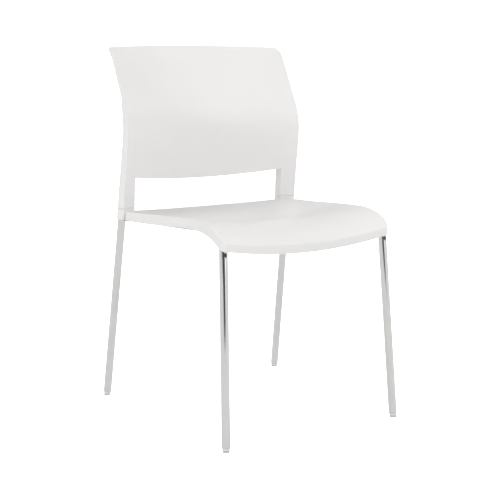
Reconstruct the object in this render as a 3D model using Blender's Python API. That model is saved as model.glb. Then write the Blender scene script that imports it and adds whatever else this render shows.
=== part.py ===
"""Stacking chair: moulded seat and back on a welded frame of bent steel tube.

Metres, +Z up. The chair faces -Y and mirrors across X = 0. Left and right are the sitter's, so the
left side is at +X. The sizes below count depth from midway between the front and the rear feet;
ORIGIN_DEPTH moves the origin to the middle of the chair's overall depth, on the floor.
"""
import math

import bmesh
import bpy
from mathutils import Matrix, Vector

SIDES = (("left", 1), ("right", -1))
ORIGIN_DEPTH = 0.0161

# Steel frame
TUBE_RADIUS = 0.009
TUBE_BORE = 0.0076
TUBE_SEGMENTS = 16
CUTTER_SEGMENTS = 24
FIT_GAP = 0.0003
FRONT_FOOT = (0.2212, -0.2540)
FRONT_LEG_SLOPE = (-0.0362, 0.0780)
REAR_FOOT = (0.2418, 0.2540)
REAR_LEG_SLOPE = (-0.0286, -0.1628)
FRONT_BEND_HEIGHT = 0.4335
FRONT_BEND_RADIUS = 0.027
RAIL_SHOULDER = (0.2000, -0.150, 0.4508)
RAIL_SHOULDER_RADIUS = 0.120
RAIL_KNEE = (0.2106, 0.144, 0.4373)
RAIL_KNEE_RADIUS = 0.050
RAIL_END = (0.2252, 0.1815, 0.4372)
UPRIGHT_STRAIGHT_TOP = 0.596
UPRIGHT_BEND = ((0.2243, 0.1551, 0.620), (0.2238, 0.1556, 0.642))
STRAPS = (("front", -0.115), ("rear", 0.095))
STRAP_SIZE = (0.028, 0.003)
STRAP_DROP = 0.0045

# Glides
FOOT_HEIGHT = 0.0098
GLIDE_COLLAR_RADIUS = 0.0081
GLIDE_COLLAR_HEIGHT = 0.0045
GLIDE_STEM_RADIUS = 0.0072
GLIDE_STEM_LENGTH = 0.016
GLIDE_PAD_RADIUS = 0.0075
GLIDE_PAD_EDGE = 0.0012

# Seat shell: stations are (y, z) of the side rim, the middle and the lower edge of the skirt
SEAT_FRONT = -0.2350
SEAT_REAR = 0.1800
SEAT_CORNER_RADIUS = 0.012
SEAT_EDGE_RADIUS = 0.0023
SEAT_THICKNESS = 0.0045
SKIRT_WALL = 0.0026
SEAT_WIDTHS = ((-0.235, 0.2175), (-0.20, 0.2165), (-0.15, 0.2145), (-0.08, 0.2165), (0.0, 0.2200),
               (0.08, 0.2228), (0.14, 0.2272), (0.18, 0.2330))
SEAT_RIM = ((-0.235, 0.4308), (-0.218, 0.4470), (-0.192, 0.4595), (-0.160, 0.4665), (-0.110, 0.4672),
            (-0.040, 0.4637), (0.050, 0.4582), (0.180, 0.4512))
SEAT_MIDDLE = ((-0.235, 0.4150), (-0.200, 0.4327), (-0.160, 0.4442), (-0.120, 0.4488),
               (-0.070, 0.4450), (-0.020, 0.4345), (0.040, 0.4292), (0.100, 0.4345), (0.180, 0.4497))
SKIRT_BOTTOM = ((-0.235, 0.4122), (-0.222, 0.4189), (-0.200, 0.4297), (-0.163, 0.4397),
                (-0.120, 0.4442), (-0.080, 0.4440), (0.000, 0.4388), (0.060, 0.4346),
                (0.100, 0.4325), (0.180, 0.4326))
LIP_DROOP = 0.0182
REAR_SKIRT = 0.0100
BOSS_RADIUS = 0.0075
BOSS_SIDE = 0.150
SEAT_SCREW_RADIUS = 0.0022
SEAT_SCREW_LENGTH = 0.0085
SEAT_SCREW_HEAD = (0.0045, 0.0022)

# Back shell: stations are (z, value) of its bow, its half width, its front outer edge and its side channel
BACK_BOTTOM = 0.4595
BACK_TOP = 0.8265
BACK_TOP_DROP = 0.0044
BACK_BOW = ((0.434, 0.0400), (0.457, 0.0415), (0.50, 0.0480), (0.55, 0.0530), (0.826, 0.0530))
BACK_CORNER_RADIUS = 0.010
BACK_THICKNESS = 0.0038
BACK_WIDTHS = ((0.434, 0.2372), (0.457, 0.2366), (0.50, 0.2363), (0.55, 0.2351), (0.60, 0.2341),
               (0.68, 0.2333), (0.76, 0.2329), (0.826, 0.2325))
BACK_EDGE = ((0.434, 0.1635), (0.457, 0.1599), (0.50, 0.1550), (0.55, 0.1470), (0.59, 0.1408),
             (0.62, 0.1373), (0.65, 0.1381), (0.68, 0.1468), (0.72, 0.1670), (0.76, 0.1870),
             (0.79, 0.2030), (0.808, 0.2148), (0.826, 0.2380))
CHANNEL_DEPTH = ((0.434, 0.0265), (0.600, 0.0265), (0.646, 0.0240), (0.672, 0.0204),
                 (0.699, 0.0110), (0.715, 0.0040), (0.826, 0.0038))
CHANNEL_INNER = 0.2022
CHANNEL_STEP = 0.0030
PANEL_COLUMNS = (0.0, 0.035, 0.070, 0.105, 0.140, 0.172, CHANNEL_INNER - CHANNEL_STEP, CHANNEL_INNER)
WINDOW_ROWS = 5
CHANNEL_ROUND = 0.0090
CHANNEL_BULGE = ((0.434, 0.0050), (0.457, 0.0048), (0.50, 0.0030), (0.55, 0.0026), (0.826, 0.0026))
WINDOW_TOP = 0.5145
WINDOW_RISE = 0.0130
BACK_SCREW_HEIGHT = 0.500
BACK_SCREW_RADIUS = 0.0020
BACK_SCREW_HEAD = (0.0042, 0.0026)

# Corner sleeves between the back and the seat
SLEEVE_BOTTOM = 0.4340
SLEEVE_FLARE = 0.0003

# Stacking bumpers
LEG_BUMPER_HEIGHT = 0.4060
LEG_BUMPER_SIZE = (0.0056, 0.0016, 0.0098)

MATERIALS = {
    "shell_plastic": ((0.83, 0.83, 0.82, 1.0), 0.0, 0.42),
    "chromed_tube": ((0.80, 0.81, 0.82, 1.0), 1.0, 0.08),
    "plated_screw": ((0.62, 0.62, 0.63, 1.0), 1.0, 0.28),
    "bumper_rubber": ((0.05, 0.05, 0.055, 1.0), 0.0, 0.7),
    "glide_collar": ((0.78, 0.79, 0.80, 1.0), 0.0, 0.35),
    "glide_pad": ((0.33, 0.34, 0.35, 1.0), 0.0, 0.6),
    "inner_plug": ((0.08, 0.08, 0.085, 1.0), 0.0, 0.5),
}


def clear_scene():
    """Remove every object, so that the script also runs in a used file."""
    for item in list(bpy.data.objects):
        bpy.data.objects.remove(item, do_unlink=True)


def make_material(name):
    """One Principled material by name."""
    colour, metallic, roughness = MATERIALS[name]
    material = bpy.data.materials.new(name)
    material.use_nodes = True
    shader = material.node_tree.nodes["Principled BSDF"]
    shader.inputs["Base Color"].default_value = colour
    shader.inputs["Metallic"].default_value = metallic
    shader.inputs["Roughness"].default_value = roughness
    return material


def make_object(name, verts, faces, material, smooth=True):
    """A named object from vertices and faces, with its normals turned outwards."""
    mesh = bpy.data.meshes.new(name)
    mesh.from_pydata([tuple(v) for v in verts], [], faces)
    mesh.transform(Matrix.Translation((0.0, -ORIGIN_DEPTH, 0.0)))
    bm = bmesh.new()
    bm.from_mesh(mesh)
    bmesh.ops.recalc_face_normals(bm, faces=bm.faces)
    bm.to_mesh(mesh)
    bm.free()
    if smooth:
        mesh.shade_smooth()
        mesh.set_sharp_from_angle(angle=math.radians(35))
    item = bpy.data.objects.new(name, mesh)
    bpy.context.scene.collection.objects.link(item)
    if material:
        mesh.materials.append(bpy.data.materials.get(material) or make_material(material))
    return item


def as_cutter(item):
    """Turn an object into a hidden Boolean cutter."""
    item.hide_render = True
    item.display_type = "WIRE"
    return item


def boolean(item, other, operation):
    """Add a Boolean that joins or cuts an object with another one."""
    modifier = item.modifiers.new(operation.title(), "BOOLEAN")
    modifier.operation = operation
    modifier.object = other
    modifier.solver = "EXACT"
    as_cutter(other)


def smooth_value(stations, at):
    """Read a smooth curve through stations with the slopes of its neighbouring chords."""
    if at <= stations[0][0]:
        return stations[0][1]
    if at >= stations[-1][0]:
        return stations[-1][1]
    i = max(k for k in range(len(stations) - 1) if stations[k][0] <= at)
    (t0, v0), (t1, v1) = stations[i], stations[i + 1]

    def chord(k):
        return (stations[k + 1][1] - stations[k][1]) / (stations[k + 1][0] - stations[k][0])

    here = chord(i)
    slope0 = here if i == 0 else 0.5 * (here + chord(i - 1))
    slope1 = here if i == len(stations) - 2 else 0.5 * (here + chord(i + 1))
    span = t1 - t0
    s = (at - t0) / span
    near = (2 * s ** 3 - 3 * s ** 2 + 1) * v0 + (s ** 3 - 2 * s ** 2 + s) * span * slope0
    far = (3 * s ** 2 - 2 * s ** 3) * v1 + (s ** 3 - s ** 2) * span * slope1
    return near + far


def blend(low, high, at):
    """Smooth step from 0 to 1 between two values."""
    s = min(1.0, max(0.0, (at - low) / (high - low)))
    return s * s * (3.0 - 2.0 * s)


# ---------------------------------------------------------------- tubes

def on_line(foot, slope, z):
    """A point at a height on a leg's straight centre line."""
    return Vector((foot[0] + slope[0] * z, foot[1] + slope[1] * z, z))


def rounded_path(points, radii, steps=6):
    """A polyline with each inner corner replaced by an arc."""
    path = [points[0]]
    for before, corner, after, radius in zip(points, points[1:], points[2:], radii):
        a = (before - corner).normalized()
        b = (after - corner).normalized()
        half = a.angle(b) / 2.0
        reach = radius / math.tan(half)
        centre = corner + (a + b).normalized() * (radius / math.sin(half))
        start = corner + a * reach - centre
        end = corner + b * reach - centre
        sweep = start.angle(end)
        for k in range(steps + 1):
            t = k / steps
            arm = (start * math.sin((1 - t) * sweep) + end * math.sin(t * sweep)) / math.sin(sweep)
            path.append(centre + arm)
    path.append(points[-1])
    return path


def ring_frames(path):
    """Two cross directions at each point of a path, carried along without twist."""
    tangents = []
    for k in range(len(path)):
        ahead = path[min(k + 1, len(path) - 1)]
        behind = path[max(k - 1, 0)]
        tangents.append((ahead - behind).normalized())
    side = tangents[0].cross(Vector((0, 1, 0))).normalized()
    frames = []
    for tangent in tangents:
        side = (side - tangent * side.dot(tangent)).normalized()
        frames.append((side, tangent.cross(side)))
    return frames


def ring_points(path, radius, count):
    """Rings of points around a path."""
    rings = []
    for point, (side, up) in zip(path, ring_frames(path)):
        ring = []
        for k in range(count):
            angle = 2 * math.pi * k / count
            ring.append(point + side * radius * math.cos(angle) + up * radius * math.sin(angle))
        rings.append(ring)
    return rings


def skin_rings(rings, closed):
    """Faces between rings of equal count; a closed skin also joins the last to the first."""
    count = len(rings[0])
    faces = []
    total = len(rings)
    last = total if closed else total - 1
    for r in range(last):
        low = r * count
        high = ((r + 1) % total) * count
        for k in range(count):
            n = (k + 1) % count
            faces.append((low + k, low + n, high + n, high + k))
    if not closed:
        faces.append(tuple(range(count)))
        faces.append(tuple((total - 1) * count + k for k in range(count)))
    return faces


def skinned(name, rings, material, closed=False):
    """An object skinned over rings of points."""
    verts = [v for ring in rings for v in ring]
    return make_object(name, verts, skin_rings(rings, closed), material)


def rod(name, path, radius, material=None, count=TUBE_SEGMENTS):
    """A solid round bar along a path."""
    return skinned(name, ring_points(path, radius, count), material)


def hollow_tube(name, path, radius, bore, material):
    """A tube with open ends along a path."""
    outer = ring_points(path, radius, TUBE_SEGMENTS)
    inner = ring_points(path, bore, TUBE_SEGMENTS)
    return skinned(name, outer + inner[::-1], material, closed=True)


def mirrored(point, sign):
    """A point of the left side, or its mirror on the right side."""
    return Vector((point[0] * sign, point[1], point[2]))


def front_leg_path(sign):
    """Centre line of the front leg, its bend and the side rail under the seat."""
    foot = on_line(FRONT_FOOT, FRONT_LEG_SLOPE, FOOT_HEIGHT)
    bend = on_line(FRONT_FOOT, FRONT_LEG_SLOPE, FRONT_BEND_HEIGHT)
    points = [foot, bend, Vector(RAIL_SHOULDER), Vector(RAIL_KNEE), Vector(RAIL_END)]
    path = rounded_path(points, (FRONT_BEND_RADIUS, RAIL_SHOULDER_RADIUS, RAIL_KNEE_RADIUS))
    return [mirrored(p, sign) for p in path]


def upright_path(sign):
    """Centre line of the rear leg, which runs straight up into the back and then eases back."""
    foot = on_line(REAR_FOOT, REAR_LEG_SLOPE, FOOT_HEIGHT)
    top = on_line(REAR_FOOT, REAR_LEG_SLOPE, UPRIGHT_STRAIGHT_TOP)
    points = [foot, top] + [Vector(p) for p in UPRIGHT_BEND]
    return [mirrored(p, sign) for p in points]


def rail_point(y, sign):
    """A point on the side rail at a given depth."""
    path = [p for p in front_leg_path(sign) if p.z > FRONT_BEND_HEIGHT]
    for a, b in zip(path, path[1:]):
        if a.y <= y <= b.y:
            return a.lerp(b, (y - a.y) / (b.y - a.y))
    return path[-1].copy()


def make_frame():
    """Leg tubes, uprights and cross straps, each coped to the tube that it is welded to."""
    for side, sign in SIDES:
        rail = hollow_tube(side + "_front_leg_rail", front_leg_path(sign), TUBE_RADIUS, TUBE_BORE,
                           "chromed_tube")
        upright = upright_path(sign)
        cope = rod(side + "_upright_cope", upright, TUBE_RADIUS + FIT_GAP, count=CUTTER_SEGMENTS)
        boolean(rail, cope, "DIFFERENCE")
        tube = hollow_tube(side + "_rear_upright", upright, TUBE_RADIUS, TUBE_BORE, "chromed_tube")
        boolean(tube, screw_hole(side, sign), "DIFFERENCE")
    for row, y in STRAPS:
        make_strap(row, y)


def strap_height(x, y):
    """Height of a strap's upper face, which follows the underside of the seat."""
    return seat_height(x, y) - SEAT_THICKNESS - STRAP_DROP


def make_strap(row, y, steps=16):
    """A flat cross strap between the side rails, with two screw holes."""
    reach = rail_point(y, 1).x
    width, thickness = STRAP_SIZE
    rings = []
    for k in range(steps + 1):
        x = reach * (2 * k / steps - 1)
        z = strap_height(x, y)
        rings.append([Vector((x, y + v * width / 2, z - w * thickness))
                      for v, w in ((-1, 0), (1, 0), (1, 1), (-1, 1))])
    strap = skinned(row + "_cross_strap", rings, "chromed_tube")
    for side, sign in SIDES:
        cope = rod(row + "_strap_cope_" + side, front_leg_path(sign), TUBE_RADIUS + FIT_GAP,
                   count=CUTTER_SEGMENTS)
        boolean(strap, cope, "DIFFERENCE")
        centre = screw_seat(y, sign)
        path = [centre - Vector((0, 0, 3 * thickness)), centre + Vector((0, 0, 2 * thickness))]
        hole = rod(row + "_strap_hole_" + side, path, SEAT_SCREW_RADIUS + FIT_GAP)
        boolean(strap, hole, "DIFFERENCE")


def screw_seat(y, sign):
    """Where a seat screw passes the upper face of its strap."""
    return Vector((sign * BOSS_SIDE, y, strap_height(BOSS_SIDE, y)))


# ---------------------------------------------------------------- glides

def make_glides():
    """A collar with a stem in each leg, and a pad whose foot is level with the floor."""
    legs = (("front", FRONT_FOOT, FRONT_LEG_SLOPE), ("rear", REAR_FOOT, REAR_LEG_SLOPE))
    for row, foot, slope in legs:
        for side, sign in SIDES:
            top = mirrored(on_line(foot, slope, FOOT_HEIGHT), sign)
            axis = mirrored((slope[0], slope[1], 1.0), sign).normalized()
            name = side + "_" + row
            make_glide_collar(name + "_glide_collar", top, axis)
            make_glide_pad(name + "_glide_pad", top - axis * GLIDE_COLLAR_HEIGHT, axis)


def disc(centre, axis, radius, count=TUBE_SEGMENTS):
    """A ring of points around an axis."""
    side = axis.cross(Vector((0, 1, 0))).normalized()
    up = axis.cross(side)
    ring = []
    for k in range(count):
        angle = 2 * math.pi * k / count
        ring.append(centre + side * radius * math.cos(angle) + up * radius * math.sin(angle))
    return ring


def make_glide_collar(name, top, axis):
    """The collar under the tube's end, with the stem that is pushed into the tube."""
    profile = ((GLIDE_STEM_LENGTH, GLIDE_STEM_RADIUS - 0.0006), (0.0, GLIDE_STEM_RADIUS),
               (-FIT_GAP, GLIDE_STEM_RADIUS), (-FIT_GAP, GLIDE_COLLAR_RADIUS),
               (-GLIDE_COLLAR_HEIGHT, GLIDE_COLLAR_RADIUS))
    skinned(name, [disc(top + axis * h, axis, r) for h, r in profile], "glide_collar")


def make_glide_pad(name, top, axis):
    """The pad: its top is square to the leg, its foot is flat on the floor."""
    upper = disc(top - axis * FIT_GAP, axis, GLIDE_PAD_RADIUS)
    centre = top - axis * (top.z / axis.z)
    level = Vector((0, 0, 1))
    lower = disc(centre, level, GLIDE_PAD_RADIUS)
    for point in lower:
        point.z = GLIDE_PAD_EDGE
    sole = disc(centre, level, GLIDE_PAD_RADIUS - GLIDE_PAD_EDGE)
    skinned(name, [upper, lower, sole], "glide_pad")


# ---------------------------------------------------------------- seat shell

def seat_half_width(y, inset=0.0):
    """Half width of the seat, with its front corners rounded."""
    width = smooth_value(SEAT_WIDTHS, y) - inset
    radius = SEAT_CORNER_RADIUS - inset
    past = y - (SEAT_FRONT + inset)
    if past >= radius:
        return width
    return width - radius + math.sqrt(max(0.0, radius ** 2 - (radius - past) ** 2))


def seat_height(x, y):
    """Height of the sitting surface."""
    rim = smooth_value(SEAT_RIM, y)
    middle = smooth_value(SEAT_MIDDLE, y)
    power = 2.4 - 0.4 * blend(-0.10, SEAT_FRONT, y)
    return middle + (rim - middle) * abs(x / smooth_value(SEAT_WIDTHS, y)) ** power


def skirt_height(share, y):
    """Height of the skirt's lower edge; share runs from -1 to 1 across the seat."""
    edge = smooth_value(SKIRT_BOTTOM, y)
    if y > SEAT_REAR - 0.02 and abs(share) < 0.999:
        return seat_height(share * seat_half_width(y), y) - REAR_SKIRT
    return edge - LIP_DROOP * (1.0 - share ** 2)


def seat_rows(inset, steps=22):
    """Depths of the seat's rows, closer together around the front corners."""
    front = SEAT_FRONT + inset
    rear = SEAT_REAR - inset
    radius = SEAT_CORNER_RADIUS - inset
    rows = [front + radius * (1 - math.cos(math.pi / 2 * k / 4)) for k in range(4)]
    start = front + radius
    rows += [start + (rear - start) * (k / steps) ** 1.15 for k in range(steps + 1)]
    return rows


def seat_shares(count=16):
    """Shares of the half width, closer together near the rim."""
    return [math.sin(math.pi / 2 * (2 * k / count - 1)) * 0.35 + 0.65 * (2 * k / count - 1)
            for k in range(count + 1)]


def seat_grid(inset, drop):
    """A grid of points over the seat at a distance from its outline and below its top."""
    grid = []
    for y in seat_rows(inset):
        half = seat_half_width(y, inset)
        grid.append([Vector((s * half, y, seat_height(s * half, y) - drop)) for s in seat_shares()])
    return grid


def grid_border(grid):
    """Indices (row, column) around a grid, once round."""
    rows, columns = len(grid), len(grid[0])
    border = [(0, c) for c in range(columns - 1)]
    border += [(r, columns - 1) for r in range(rows - 1)]
    border += [(rows - 1, c) for c in range(columns - 1, 0, -1)]
    border += [(r, 0) for r in range(rows - 1, 0, -1)]
    return border


def shell_between(name, top, rings, bottom, material):
    """A closed shell: a top grid, rings round its border, and a bottom grid of the same count."""
    rows, columns = len(top), len(top[0])
    verts = [v for row in top for v in row] + [v for row in bottom for v in row]
    offset = rows * columns
    faces = []
    for r in range(rows - 1):
        for c in range(columns - 1):
            a = r * columns + c
            faces.append((a, a + 1, a + columns + 1, a + columns))
            faces.append((offset + a, offset + a + columns, offset + a + columns + 1, offset + a + 1))
    border = [r * columns + c for r, c in grid_border(top)]
    loops = [border]
    for ring in rings:
        loops.append(list(range(len(verts), len(verts) + len(ring))))
        verts += ring
    loops.append([offset + k for k in border])
    for low, high in zip(loops, loops[1:]):
        for k in range(len(border)):
            n = (k + 1) % len(border)
            faces.append((low[k], high[k], high[n], low[n]))
    return make_object(name, verts, faces, material)


def seat_ring(inset, height):
    """Points round the seat's outline at an inset; height gives z from share, depth and point."""
    ring = []
    rows = seat_rows(inset)
    shares = seat_shares()
    for r, c in grid_border([shares] * len(rows)):
        x = shares[c] * seat_half_width(rows[r], inset)
        ring.append(Vector((x, rows[r], height(shares[c], rows[r], x))))
    return ring


def make_seat():
    """The seat: dished top, rolled edge, skirt all round and screw bosses underneath."""
    radius = SEAT_EDGE_RADIUS
    top = seat_grid(radius, 0.0)
    rings = []
    for turn in (math.radians(30), math.radians(60), math.radians(90)):
        fall = radius * (1 - math.cos(turn))
        inset = radius * (1 - math.sin(turn))
        rings.append(seat_ring(inset, lambda s, y, x, fall=fall: seat_height(x, y) - fall))
    rings.append(seat_ring(0.0, lambda s, y, x: skirt_height(s, y)))
    inner = SKIRT_WALL
    rings.append(seat_ring(inner, lambda s, y, x: skirt_height(s, y)))
    bottom = seat_grid(inner, SEAT_THICKNESS)
    seat = shell_between("seat_shell", top, rings, bottom, "shell_plastic")
    for side, sign in SIDES:
        for row, y in STRAPS:
            add_boss(seat, side + "_" + row, screw_seat(y, sign))
        boolean(seat, sleeve_solid(side + "_sleeve_room", sign, FIT_GAP), "DIFFERENCE")
        room = rod(side + "_rail_room", front_leg_path(sign), TUBE_RADIUS + FIT_GAP, count=CUTTER_SEGMENTS)
        boolean(seat, room, "DIFFERENCE")
    return seat


def add_boss(seat, name, centre):
    """A moulded post from the seat down to its strap, with a blind hole for the screw."""
    slope = abs(strap_height(BOSS_SIDE + BOSS_RADIUS, centre.y) - centre.z)
    foot = centre + Vector((0, 0, slope + FIT_GAP))
    top = seat_height(centre.x, centre.y) - SEAT_THICKNESS / 2
    post = rod(name + "_boss", [foot, Vector((centre.x, centre.y, top))], BOSS_RADIUS)
    boolean(seat, post, "UNION")
    reach = centre.z - STRAP_SIZE[1] + SEAT_SCREW_LENGTH + FIT_GAP
    hole = [foot - Vector((0, 0, 0.001)), Vector((centre.x, centre.y, reach))]
    boolean(seat, rod(name + "_boss_hole", hole, SEAT_SCREW_RADIUS + FIT_GAP), "DIFFERENCE")


def make_seat_screws():
    """The four screws that hold the seat, pushed up through the straps into its bosses."""
    up = Vector((0, 0, 1))
    radius, height = SEAT_SCREW_HEAD
    profile = ((-height, radius * 0.7), (-height * 0.5, radius), (0.0, radius),
               (0.0, SEAT_SCREW_RADIUS), (SEAT_SCREW_LENGTH, SEAT_SCREW_RADIUS))
    for side, sign in SIDES:
        for row, y in STRAPS:
            centre = screw_seat(y, sign)
            slope = abs(strap_height(BOSS_SIDE - radius, y) - centre.z)
            under = centre - up * (STRAP_SIZE[1] + slope + FIT_GAP)
            rings = [disc(under + up * h, up, r) for h, r in profile]
            skinned(side + "_" + row + "_seat_screw", rings, "plated_screw")


# ---------------------------------------------------------------- back shell

def back_half_width(z, top):
    """Half width of the back at a height, with its corners rounded below its upper edge."""
    width = smooth_value(BACK_WIDTHS, z)
    if top - z >= BACK_CORNER_RADIUS:
        return width
    past = max(0.0, top - z)
    radius = BACK_CORNER_RADIUS
    return width - radius + math.sqrt(max(0.0, radius ** 2 - (radius - past) ** 2))


def back_front(x, z):
    """A point of the back's front surface."""
    share = x / smooth_value(BACK_WIDTHS, z)
    return Vector((x, smooth_value(BACK_EDGE, z) + smooth_value(BACK_BOW, z) * (1.0 - share ** 2), z))


def back_normal(x, z):
    """Direction from the front surface into the back."""
    step = 0.002
    across = back_front(x + step, z) - back_front(x - step, z)
    along = back_front(x, z + step) - back_front(x, z - step)
    return along.cross(across).normalized()


def channel_share(z):
    """How deep the side channel is at a height, from 0 for none to 1 for its full depth."""
    full = CHANNEL_DEPTH[0][1] - BACK_THICKNESS
    return max(0.0, smooth_value(CHANNEL_DEPTH, z) - BACK_THICKNESS) / full


def channel_offset(x, z):
    """Sideways shift and depth that the channel adds behind the panel at a place."""
    share = channel_share(z)
    side = blend(CHANNEL_INNER - CHANNEL_STEP, CHANNEL_INNER, abs(x))
    depth = (CHANNEL_DEPTH[0][1] - BACK_THICKNESS) * share * side
    from_edge = smooth_value(BACK_WIDTHS, z) - abs(x)
    near = min(1.0, max(0.0, 1.0 - from_edge / CHANNEL_ROUND))
    drop = CHANNEL_ROUND * share * (1.0 - math.sqrt(1.0 - near ** 2))
    shift = smooth_value(CHANNEL_BULGE, z) * share * near
    return Vector((math.copysign(shift, x), depth - drop, 0.0))


def back_rows(steps=22):
    """Row places from the bottom (0) over the window's top (1) to the upper edge (2)."""
    legs = [k / WINDOW_ROWS for k in range(WINDOW_ROWS)]
    body = [1 + 0.965 * k / steps for k in range(steps)]
    rolled = [1.967, 1.978, 1.987, 1.9955, 2.0]
    return legs + body + rolled


def back_columns(half_width):
    """Places across the back; its outer ones follow the round of the side channel."""
    rounds = [CHANNEL_ROUND * k for k in (1.0, 0.62, 0.32, 0.10, 0.0)]
    middle = (CHANNEL_INNER + half_width - CHANNEL_ROUND) / 2
    half = list(PANEL_COLUMNS) + [middle] + [half_width - e for e in rounds]
    return [-x for x in reversed(half[1:])] + half


def back_place(row, column):
    """One grid place (x, z); its width and height depend on each other, so it is found in steps."""
    x, z = 0.0, BACK_BOTTOM
    for _ in range(4):
        crown = BACK_TOP - BACK_TOP_DROP * (x / smooth_value(BACK_WIDTHS, BACK_TOP)) ** 2
        x = back_columns(back_half_width(z, crown))[column]
        lintel = WINDOW_TOP + WINDOW_RISE * min(1.0, abs(x) / CHANNEL_INNER) ** 2
        if row <= 1.0:
            z = BACK_BOTTOM + (lintel - BACK_BOTTOM) * row
        else:
            z = lintel + (crown - lintel) * (row - 1.0)
    return x, z


def back_panel_points():
    """Front and rear points of every grid place of the back."""
    front, rear = [], []
    columns = range(len(back_columns(BACK_WIDTHS[0][1])))
    for row in back_rows():
        places = [back_place(row, column) for column in columns]
        front.append([back_front(x, z) for x, z in places])
        skin = [back_normal(x, z) * BACK_THICKNESS + channel_offset(x, z) for x, z in places]
        rear.append([point + step for point, step in zip(front[-1], skin)])
    return front, rear


def make_back():
    """The back: curved panel with side channels that run down past the window."""
    front, rear = back_panel_points()
    rows, columns = len(front), len(front[0])
    window = columns // 2 - len(PANEL_COLUMNS) + 1

    def kept(r, c):
        open_here = r < WINDOW_ROWS and window <= c < columns - 1 - window
        return 0 <= r < rows - 1 and 0 <= c < columns - 1 and not open_here

    verts = [v for row in front for v in row] + [v for row in rear for v in row]
    half = rows * columns
    faces = []
    for r in range(rows - 1):
        for c in range(columns - 1):
            if not kept(r, c):
                continue
            a, b = r * columns + c, r * columns + c + 1
            d, e = a + columns, b + columns
            faces.append((a, b, e, d))
            faces.append((half + a, half + d, half + e, half + b))
            walls = (((r - 1, c), (a, b)), ((r + 1, c), (e, d)), ((r, c - 1), (d, a)),
                     ((r, c + 1), (b, e)))
            for (nr, nc), (p, q) in walls:
                if not kept(nr, nc):
                    faces.append((p, half + p, half + q, q))
    back = make_object("back_shell", verts, faces, "shell_plastic")
    drop_loose(back)
    for side, sign in SIDES:
        bore = bore_path(sign)
        hole = rod(side + "_back_bore", bore, TUBE_RADIUS + FIT_GAP, count=CUTTER_SEGMENTS)
        boolean(back, hole, "DIFFERENCE")
        boolean(back, screw_hole(side + "_back", sign), "DIFFERENCE")
    return back


def drop_loose(item):
    """Remove the points inside the window, which no face uses."""
    bm = bmesh.new()
    bm.from_mesh(item.data)
    loose = [v for v in bm.verts if not v.link_faces]
    bmesh.ops.delete(bm, geom=loose, context="VERTS")
    bmesh.ops.recalc_face_normals(bm, faces=bm.faces)
    bm.to_mesh(item.data)
    bm.free()


def bore_path(sign):
    """Centre line of the socket, a little longer than the tube and its plug."""
    path = upright_path(sign)
    path[0] = mirrored(on_line(REAR_FOOT, REAR_LEG_SLOPE, SLEEVE_BOTTOM - 0.01), sign)
    path[-1] = path[-1] + (path[-1] - path[-2]).normalized() * 0.0025
    return path


def screw_place(sign):
    """Centre of the upright at the back screw, and the direction that the screw comes from."""
    centre = mirrored(on_line(REAR_FOOT, REAR_LEG_SLOPE, BACK_SCREW_HEIGHT), sign)
    normal = back_normal(centre.x, BACK_SCREW_HEIGHT)
    return centre, normal


def screw_rear_face(sign):
    """Distance from the upright's centre to the rear face of the channel at the screw."""
    centre, normal = screw_place(sign)
    rear = back_front(centre.x, centre.z) + channel_offset(centre.x, centre.z)
    return (rear - centre).dot(normal) + BACK_THICKNESS


def screw_hole(side, sign):
    """Cutter for the hole that the back screw passes through."""
    centre, normal = screw_place(sign)
    path = [centre + normal * 0.002, centre + normal * 0.03]
    hole = rod(side + "_screw_hole", path, BACK_SCREW_RADIUS + FIT_GAP, count=16)
    return as_cutter(hole)


def make_back_screws():
    """A round head screw through the rear of each channel into its upright."""
    for side, sign in SIDES:
        centre, normal = screw_place(sign)
        base = centre + normal * (screw_rear_face(sign) + FIT_GAP + 0.0002)
        radius, height = BACK_SCREW_HEAD
        shank = screw_rear_face(sign) - 0.004
        profile = ((height, radius * 0.55), (height * 0.6, radius * 0.9), (0.0, radius),
                   (0.0, BACK_SCREW_RADIUS), (-shank, BACK_SCREW_RADIUS))
        rings = [disc(base + normal * h, normal, r, 16) for h, r in profile]
        skinned(side + "_back_screw", rings, "plated_screw")


def make_upright_plugs():
    """A plug in the upper end of each upright."""
    for side, sign in SIDES:
        path = upright_path(sign)
        axis = (path[-1] - path[-2]).normalized()
        top = path[-1]
        profile = ((-0.010, TUBE_BORE - 0.0008), (FIT_GAP, TUBE_BORE - FIT_GAP),
                   (FIT_GAP, TUBE_RADIUS - 0.0004), (0.0018, TUBE_RADIUS - 0.0008))
        skinned(side + "_upright_plug", [disc(top + axis * h, axis, r) for h, r in profile],
                "inner_plug")


# ---------------------------------------------------------------- corner sleeves

def channel_section(z, sign, grow):
    """Outline of the side channel at a height, once round, grown outwards by a little."""
    width = smooth_value(BACK_WIDTHS, z)
    places = [x for x in back_columns(width) if x >= CHANNEL_INNER]
    front = [back_front(x, z) for x in places]
    rear = [p + back_normal(p.x, z) * BACK_THICKNESS + channel_offset(p.x, z) for p in front]
    outline = front + rear[::-1]
    centre = sum(outline, Vector()) / len(outline)
    points = []
    for before, point, after in zip(outline[-1:] + outline[:-1], outline, outline[1:] + outline[:1]):
        flat_in, flat_out = (point - before).xy.normalized(), (after - point).xy.normalized()
        out = Vector((flat_in.y + flat_out.y, -flat_in.x - flat_out.x, 0.0)).normalized()
        if out.dot(point - centre) < 0.0:
            out = -out
        points.append(mirrored(Vector((point.x, point.y, z)) + out * grow, sign))
    return points


def sleeve_solid(name, sign, gap, material=None):
    """The sleeve's outer block; with a gap it is the room that the seat leaves for it."""
    steps = [SLEEVE_BOTTOM, SLEEVE_BOTTOM + 0.008, BACK_BOTTOM - FIT_GAP]
    flares = (SLEEVE_FLARE, SLEEVE_FLARE * 0.5, 0.0)
    if gap > 0.0:
        steps[0] -= 0.004
        steps[-1] += 0.004
    rings = [channel_section(z, sign, flare + gap) for z, flare in zip(steps, flares)]
    return skinned(name, rings, material)


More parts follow.
